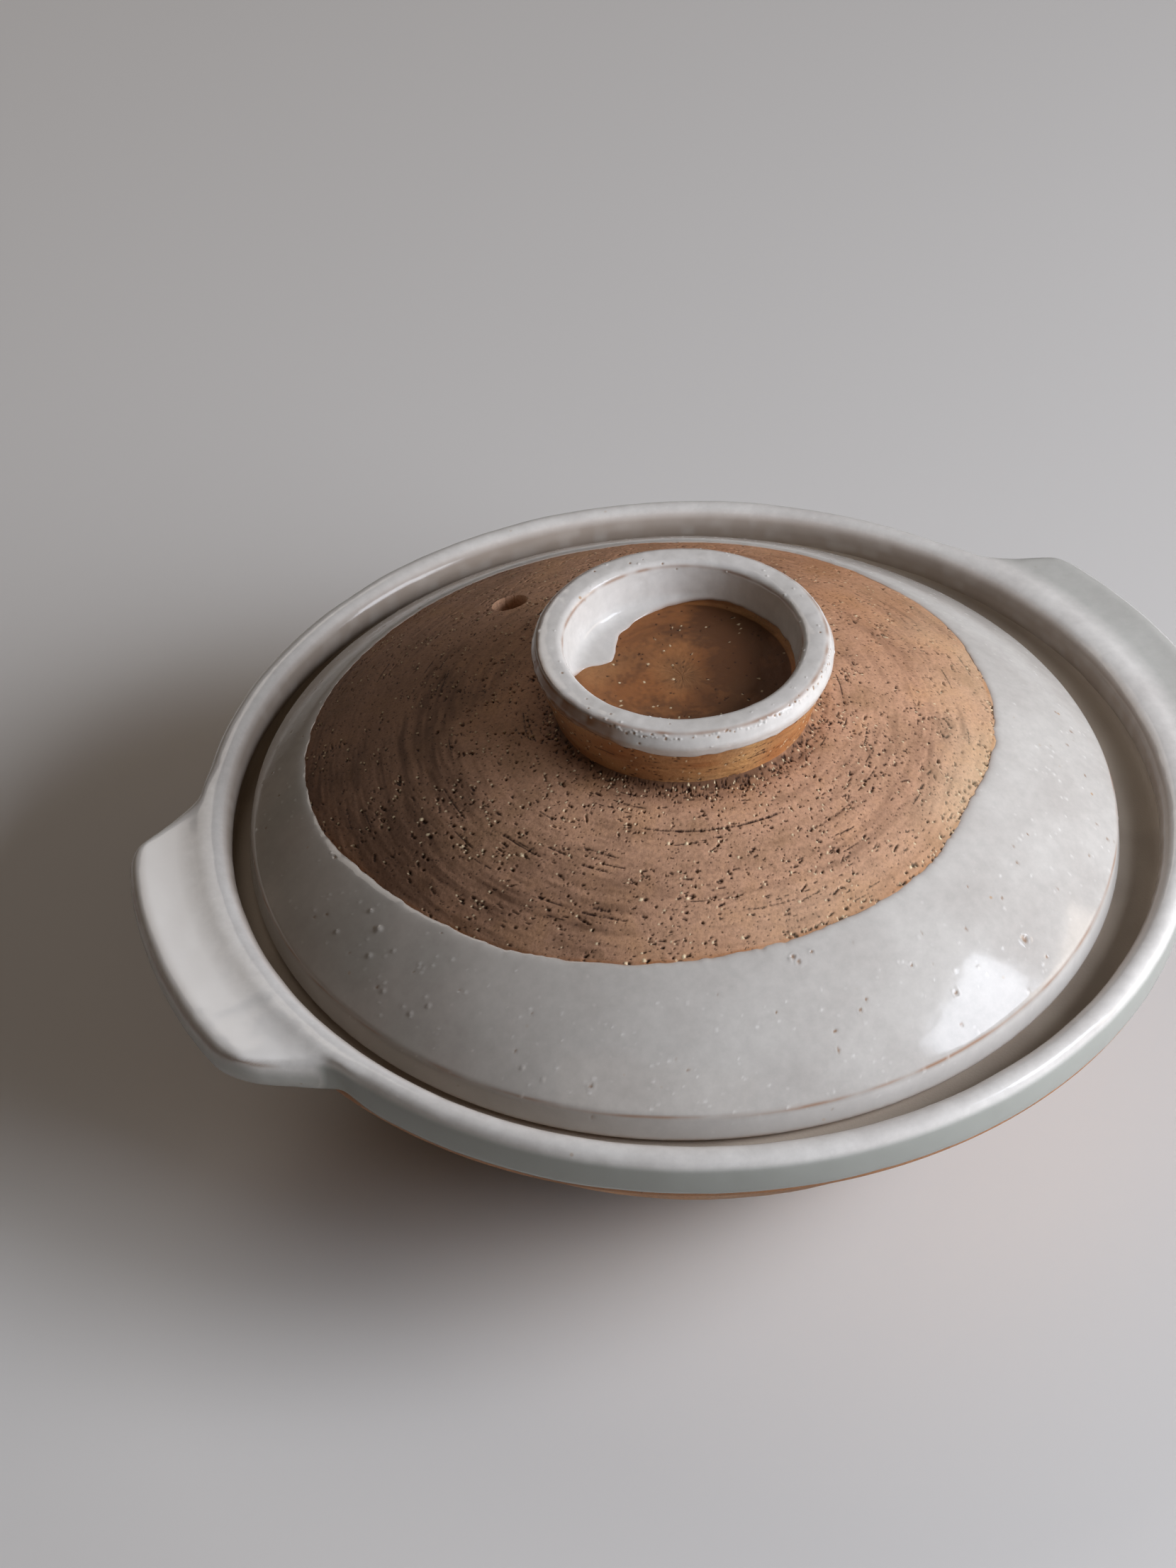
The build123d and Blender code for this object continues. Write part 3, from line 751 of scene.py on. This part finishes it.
band_line = half_section([
    (lid_edge, seat_height + 1.1, 0, 0), *flank, (knob_foot, knob_foot_height, 0, 0),
], 0.1)
band_run = run_along(band_line)
band_angle = np.linspace(0, 2 * math.pi, 1400, endpoint=False)
edge_spots = ring_grid(shoulder_radius, 0.0, band_angle)
band_edge = band_radius(band_angle)
band_edge = band_edge + 0.16 * waver(edge_spots, 4.5, 51) + 0.12 * waver(edge_spots, 1.6, 52)
band_edge = band_edge + 0.26 * patchy(edge_spots, 11, 53, -0.6, 2.5) * waver(edge_spots, 1.3, 54)
edge_run = np.interp(-band_edge, -band_line[:, 0], band_run)
# about three quarters of the rows reach to 0.9 of the way, and the rest into the bead
share = np.concatenate([np.linspace(0, 0.9, 74, endpoint=False), np.linspace(0.9, 1, 22)])[:, None]
run = share * edge_run[None, :]
to_edge = edge_run[None, :] - run
band_r, band_z, out_r, out_z = on_line(band_line, run)
band_spots = ring_grid(band_r, band_z, band_angle[None, :])
coat = 0.46 * (1 - np.exp(-to_edge / 0.75)) - 0.02
coat = coat + (0.05 * waver(band_spots, 11, 55) + 0.012 * waver(band_spots, 4, 56)) * ramp(to_edge, 0, 2)
coat = np.minimum(coat, 0.06 + run / 0.5 * 0.45)
# it is thin along its end, over the crease 5.2 mm up from its start, and along its start
thin_glaze_and_shade = np.max([
    0.55 * np.exp(-to_edge / 0.3),
    ridge(run, 5.2, 0.21) * patchy(band_spots, 5, 57, 0.62, 0.5),
    ridge(run, 0, 0.75) * patchy(band_spots, 1.2, 60, 0.8, 0.5)], axis=0)
# painted shade: the band's far left, turned away from the lamps, is greyer and a little tan
shaded_band_left = towards(band_angle, 172) ** 2
grey_shade_band = shaded_band_left * patchy(band_spots, 9, 59, 0.3, 0.2)
thin_glaze_and_shade = np.maximum(thin_glaze_and_shade, 0.2 * shaded_band_left)
# painted light: the lid's side below the crease is paler; pale glass beads are added to it below
pale_beads_and_lit_side = 0.3 * ramp(run, 4.9, -0.6)
pinhole = np.zeros_like(coat)
# beads of glass and pinholes
for n in range(520):
    at, along_run = chance.uniform(0, 2 * math.pi), chance.uniform(1.5, 27)
    size, rise = chance.uniform(0.14, 0.42), chance.random() < 0.84
    columns, apart = around_spot(band_angle, band_r, run, at, along_run, 4)
    near = np.clip(1.2 - apart / size, 0, 1)
    near = near * (to_edge[:, columns] > 0.8)
    if rise:
        coat[:, columns] += 0.07 * near
        pale_beads_and_lit_side[:, columns] = np.maximum(pale_beads_and_lit_side[:, columns], 0.55 * near)
    else:
        coat[:, columns] -= 0.13 * near
        pinhole[:, columns] = np.maximum(pinhole[:, columns], np.clip(near * 1.6 - 0.3, 0, 1))
# the marks that catch the eye: radius, angle, size, and how far each stands up or sinks
for radius, degrees, size, height in (
        (75.5, 299.5, 1.0, -0.22), (60.2, 263.2, 0.5, -0.16), (61.3, 263.9, 0.5, -0.14),
        (60.6, 262.5, 0.35, 0.14), (61.6, 264.8, 0.35, 0.12), (60.3, 266.6, 0.45, -0.16),
        (68.4, 281.0, 0.5, -0.2), (75.2, 284.8, 0.55, -0.2), (65.7, 311.8, 0.45, -0.12),
        (67.6, 309.4, 0.4, -0.1), (75.1, 310.6, 0.35, -0.1), (63.6, 298.6, 0.35, -0.1),
        (71.5, 270.4, 0.45, -0.1), (76.0, 265.4, 0.4, -0.1), (79.1, 232.4, 0.5, -0.1),
        (65.1, 288.8, 0.25, -0.2), (61.2, 274.0, 0.25, -0.2), (70.5, 192.5, 0.85, 0.3),
        (74.4, 194.3, 0.6, 0.24), (69.4, 189.1, 0.45, 0.2), (75.5, 207.0, 0.5, 0.22),
        (77.7, 205.2, 0.5, 0.22), (71.6, 197.1, 0.4, 0.2), (77.2, 199.7, 0.5, 0.22),
        (75.4, 187.1, 0.5, 0.2), (78.6, 223.0, 0.45, 0.2), (79.5, 226.0, 0.4, 0.2)):
    along_run = float(np.interp(-radius, -band_line[:, 0], band_run))
    columns, apart = around_spot(band_angle, band_r, run, math.radians(degrees), along_run, 7)
    apart = apart / size + 0.3 * waver(band_spots[:, columns], 0.7, 58)
    coat[:, columns] += height * np.clip(1.15 - apart, 0, 1)
    if height < 0:
        # a crater has a raised lip
        coat[:, columns] += 0.1 * ridge(apart, 1.1, 0.3)
        pinhole[:, columns] = np.maximum(pinhole[:, columns], 0.85 * np.clip(1.6 - 1.8 * apart, 0, 1))
band_skin = ring_grid(band_r + out_r * coat, band_z + out_z * coat, band_angle[None, :], lid_centre)
# both ends of the coat turn in towards the clay
turn_in = 0.25
tucked = ring_grid(band_r[-1:] - out_r[-1:] * turn_in, band_z[-1:] - out_z[-1:] * turn_in,
                   band_angle[None, :], lid_centre)
lifted = ring_grid(band_r[:1] - out_r[:1] * turn_in, band_z[:1], band_angle[None, :], lid_centre)
band_mesh = ring_mesh("lid_glaze", np.concatenate([lifted, band_skin, tucked]), marks={
    "thin": np.pad(thin_glaze_and_shade, ((1, 1), (0, 0)), mode="edge"),
    "pinhole": np.pad(pinhole, ((1, 1), (0, 0))),
    "grey": np.pad(grey_shade_band, ((1, 1), (0, 0)), mode="edge"),
    "pool": np.pad(pale_beads_and_lit_side, ((1, 1), (0, 0)), mode="edge")})
band_finish = milky_glaze("milky_glaze_lid", ("#b4afa9", "#c0bcb6"), "#9a7860")
placed("lid_glaze_band", band_mesh, band_finish, "lid", ["lid_glaze"])

# KNOB
# The knob was thrown as a low cup and luted to the dome with slip. Its wall is bare clay with
# fine turning rings, and its floor is bare too.

knob_top, knob_radius, knob_root = round(float(cad_high[2]) / mm, 1), 27.85, 24.4
cup_floor, cup_radius = 88.6, 21.05
knob_line = half_section([
    (by_axis, 84.2, 0, 0), (20.0, 83.0, 0, 0), (knob_root + 0.2, 81.9, 0.4, 0), (knob_root, 83.0, 1.0, 0),
    (knob_radius, 94.1, 1.0, 0), (knob_radius - 1.1, knob_top - 0.55, 1.2, 0.15),
    (cup_radius + 1.7, knob_top - 0.55, 1.2, 0), (cup_radius, cup_floor, 0.5, 0),
    (by_axis, cup_floor - 0.7, 0, 0),
], 0.3)
cup = turned_skin(knob_line, 800, 61)
wall_low, wall_high = cup["run"][np.nonzero(cup["facing"][:, 0] > 0.85)[0][[4, -4]]]
cup["relief"] += 0.05 * waver(cup["spots"] * [0.12, 0.12, 1.0], 0.9, 65)
for n in range(620):
    at_run, at = chance.uniform(wall_low, wall_high), chance.uniform(0, 2 * math.pi)
    tear(cup, at_run, at, chance.uniform(0.25, 1.1), chance.uniform(0.16, 0.34), 0.12,
         chance.normal(0, 0.12), chance.uniform(0.15, 0.24) if chance.random() < 0.3 else 0)
for n in range(60):
    start, length = chance.uniform(0, 360), chance.uniform(2, 8)
    score(cup, chance.uniform(wall_low, wall_high), start, start + length, 0.34, 0.14)
floor_from = float(cup["run"][-1]) - 20
for n in range(160):
    tear(cup, floor_from + 19.5 - 19 * math.sqrt(chance.random()), chance.uniform(0, 2 * math.pi),
         chance.uniform(0.3, 0.9), chance.uniform(0.2, 0.4), 0.12, chance.normal(0, 0.6),
         chance.uniform(0.15, 0.25) if chance.random() < 0.3 else 0)
# the floor is more orange and darker all over, and a painted shadow of the cup's right wall darkens its
# right half
spots, on_floor = cup["spots"], (cup["run"] > floor_from)[:, None]
cup["halo"] = 0.45 + 0.5 * waver(spots, 9, 66) + 0.3 * waver(spots * [0.2, 0.2, 1], 1.5, 67)
cup["halo"] = np.clip(np.clip(cup["halo"], 0, 1) + 0.5 * on_floor, 0, 1)
rightward = spots[..., :2] @ [math.cos(math.radians(-26)), math.sin(math.radians(-26))]
smoke_and_shadow = 0.36 + 0.42 * ramp(rightward, 0.5, 5) + 0.15 * waver(spots, 4, 68)
cup["soot"] = np.clip(cup["soot"] + on_floor * smoke_and_shadow, 0, 0.8)
knob_clay = bare_clay("turned_stoneware_knob", "#b58a5e", "#c29560", "#96714b")
placed("knob_cup", ring_mesh("knob_cup", raised(cup, lid_centre), cap_ends=True,
                             marks={mark: cup[mark] for mark in ("pit", "grain", "halo", "soot")}),
       knob_clay, "lid", ["lid_knob"])

# GLAZE ON THE KNOB
# The knob was dipped upside down, so glass covers its rim and the wall of the cup. It ran on to
# the bare floor in a few lobes, and stopped in beads round the outside.

bevel_height = 94.4
coat_line = half_section([
    (27.3, 91.2, 0, 0), (28.3, bevel_height, 0.9, 0), (27.2, knob_top - 0.2, 1.1, 0.18),
    (22.3, knob_top - 0.2, 1.3, 0), (20.6, cup_floor + 0.4, 2.4, 0), (12.0, cup_floor - 0.05, 0, 0),
], 0.1)
coat_run = run_along(coat_line)
coat_angle = np.linspace(0, 2 * math.pi, 900, endpoint=False)
rim_spots = ring_grid(27.0, 0.0, coat_angle)
low_run = 1.2 + 0.7 * waver(rim_spots, 6, 71) + 0.3 * waver(rim_spots, 2.0, 72)
low_run -= 0.5 * np.cos(coat_angle - math.radians(250))
wall_foot = 20.7
wall_end = float(np.interp(-wall_foot, -coat_line[:, 0], coat_run))
# where the glass ends on the floor: angle in degrees, and radius
floor_edge = np.array([
    (0, 20.6), (50, 20.4), (74, 19.0), (88, 17.7), (100, 16.4), (110, 15.9), (117, 14.9), (128, 13.3),
    (139, 12.8), (145, 14.6), (149, 17.6), (158, 19.6), (170, 20.5), (360, 20.6),
])
fine = np.linspace(0, 360, 1441)
reach = np.interp(fine, floor_edge[:, 0], floor_edge[:, 1])
# the lobes' corners are rounded over about 5 degrees
soft = np.exp(-(np.arange(-20, 21) / 8.0) ** 2)
reach = np.convolve(np.pad(reach, 20, mode="wrap"), soft / soft.sum(), mode="valid")
reach = np.interp(np.degrees(coat_angle), fine, reach)
high_run = wall_end + wall_foot - reach + 0.16 * waver(rim_spots, 3, 73)
coat_share = np.linspace(0, 1, 130)[:, None]
at_run = low_run[None, :] + coat_share * (high_run - low_run)[None, :]
coat_r, coat_z, coat_nr, coat_nz = on_line(coat_line, at_run)
coat_spots = ring_grid(coat_r, coat_z, coat_angle[None, :])
# distances to the two ends, less where an end runs aslant
aslant = np.gradient(high_run) / (2 * math.pi / len(coat_angle) * 17)
ends = np.minimum(at_run - low_run[None, :], (high_run[None, :] - at_run) / np.sqrt(1 + aslant ** 2))
lift = -0.55 * np.exp(-ends / 0.25) + 0.07 * waver(coat_spots, 5, 75) + 0.04 * waver(coat_spots, 1.8, 76)
outer_crease = float(np.interp(bevel_height, coat_line[:60, 1], coat_run[:60]))
rim_out = outer_crease + 2.9
rim_in = rim_out + 5.0
uneven = 0.55 + 0.5 * waver(coat_spots, 2.4, 77)
thin_knob = np.max([
    0.7 * np.exp(-ends / 0.3),
    0.9 * ridge(at_run, rim_out, 0.4) * np.clip(uneven, 0, 1),
    0.7 * ridge(at_run, rim_in, 0.35) * np.clip(uneven + 0.1, 0, 1)], axis=0)
# at the front left the glass ran off the bevel and left it brown
turned = np.degrees(coat_angle)[None, :]
run_off = ramp(turned, 150, 12) * ramp(turned, 226, -10) * ramp(at_run, rim_out - 0.1, -0.5)
run_off = run_off * patchy(coat_spots, 1.6, 78, 0.95, 0.3)
thin_knob = np.maximum(thin_knob, 0.95 * run_off)
lift -= 0.2 * run_off
knob_holes = np.zeros_like(lift)
for n in range(170):
    front = chance.random() < 0.6
    at = math.radians(chance.uniform(215, 330)) if front else chance.uniform(0, 2 * math.pi)
    along_run = rim_out - chance.uniform(0.2, 1.2) if front else chance.uniform(3, 12)
    size, bead = chance.uniform(0.14, 0.34), chance.random() < 0.65
    columns, apart = around_spot(coat_angle, coat_r, at_run, at, along_run, 4)
    near = np.clip(1.2 - apart / size, 0, 1)
    lift[:, columns] += (0.13 if bead else -0.12) * near
    if bead:
        thin_knob[:, columns] *= 1 - np.clip(near * 1.5, 0, 1)
    else:
        knob_holes[:, columns] = np.maximum(knob_holes[:, columns], np.clip(near * 1.6 - 0.3, 0, 1))
coat_skin = ring_grid(coat_r + coat_nr * lift, coat_z + coat_nz * lift, coat_angle[None, :], lid_centre)
coat_mesh = ring_mesh("knob_glaze", coat_skin, marks={"thin": thin_knob, "pinhole": knob_holes})
knob_finish = milky_glaze("milky_glaze_knob", ("#c5c1bb", "#cfcbc6"), "#8a6244")
placed("knob_cup_glaze", coat_mesh, knob_finish, "lid", ["knob_glaze"])

# WORKTOP, LIGHT AND CAMERA
# A plain pale worktop. The window is to the right and a little in front, with a pale wall beside
# it, and the room's other walls throw a little of its light back. The pot is seen from above at
# its front left, as one stands at the counter.

worktop_material, worktop_surface = new_material("pale_worktop")
worktop_surface.inputs["Base Color"].default_value = linear("#cfcdca")
worktop_surface.inputs["Roughness"].default_value = 0.55
bpy.ops.mesh.primitive_plane_add(size=6, location=(0, 0, 0))
worktop = bpy.context.active_object
worktop.name = "worktop"
worktop.data.materials.append(worktop_material)


def soft_light(name, direction, distance, width, height, power, tone):
    """A rectangular lamp that faces the pot from a direction."""
    lamp = bpy.data.lights.new(name, "AREA")
    lamp.shape = "RECTANGLE"
    lamp.size, lamp.size_y = width, height
    lamp.energy = power
    lamp.color = linear(tone)[:3]
    holder = bpy.data.objects.new(name, lamp)
    scene.collection.objects.link(holder)
    away = np.array(direction, float)
    away /= np.linalg.norm(away)
    side = np.cross((0, 0, 1.0), away)
    side /= np.linalg.norm(side)
    up = np.cross(away, side)
    turn = Matrix((side, up, away)).transposed().to_4x4()
    turn.translation = away * distance
    holder.matrix_world = turn
    return holder


soft_light("window", (0.652, -0.487, 0.581), 1.05, 0.4, 0.34, 3.7, "#edf3ff")
wall = soft_light("wall_by_window", (0.619, -0.593, 0.515), 1.1, 0.85, 0.7, 15.0, "#eef3fd")
# the wall is matt and too dim to be seen in the glaze
wall.visible_glossy = False
soft_light("low_side", (0.916, -0.293, 0.276), 1.3, 0.6, 0.4, 2.4, "#ffe6cc")
soft_light("far_wall", (-0.064, 0.729, 0.682), 1.3, 0.8, 0.4, 2.2, "#fbf1e8")
soft_light("front_fill", (-0.357, -0.534, 0.766), 1.3, 0.8, 0.5, 0.5, "#ffdcb8")
world = bpy.data.worlds.new("room")
scene.world = world
world.use_nodes = True
world.node_tree.nodes["Background"].inputs["Color"].default_value = linear("#d8b898")
world.node_tree.nodes["Background"].inputs["Strength"].default_value = 0.035

lens = bpy.data.cameras.new("camera")
lens.sensor_width = 36
lens.lens = 93.65
camera = bpy.data.objects.new("camera", lens)
camera.location = (-0.25256, -0.52361, 0.57767)
camera.rotation_euler = (math.radians(48.377), math.radians(1.155), math.radians(-24.772))
scene.collection.objects.link(camera)
scene.camera = camera
scene.view_settings.view_transform = "Standard"
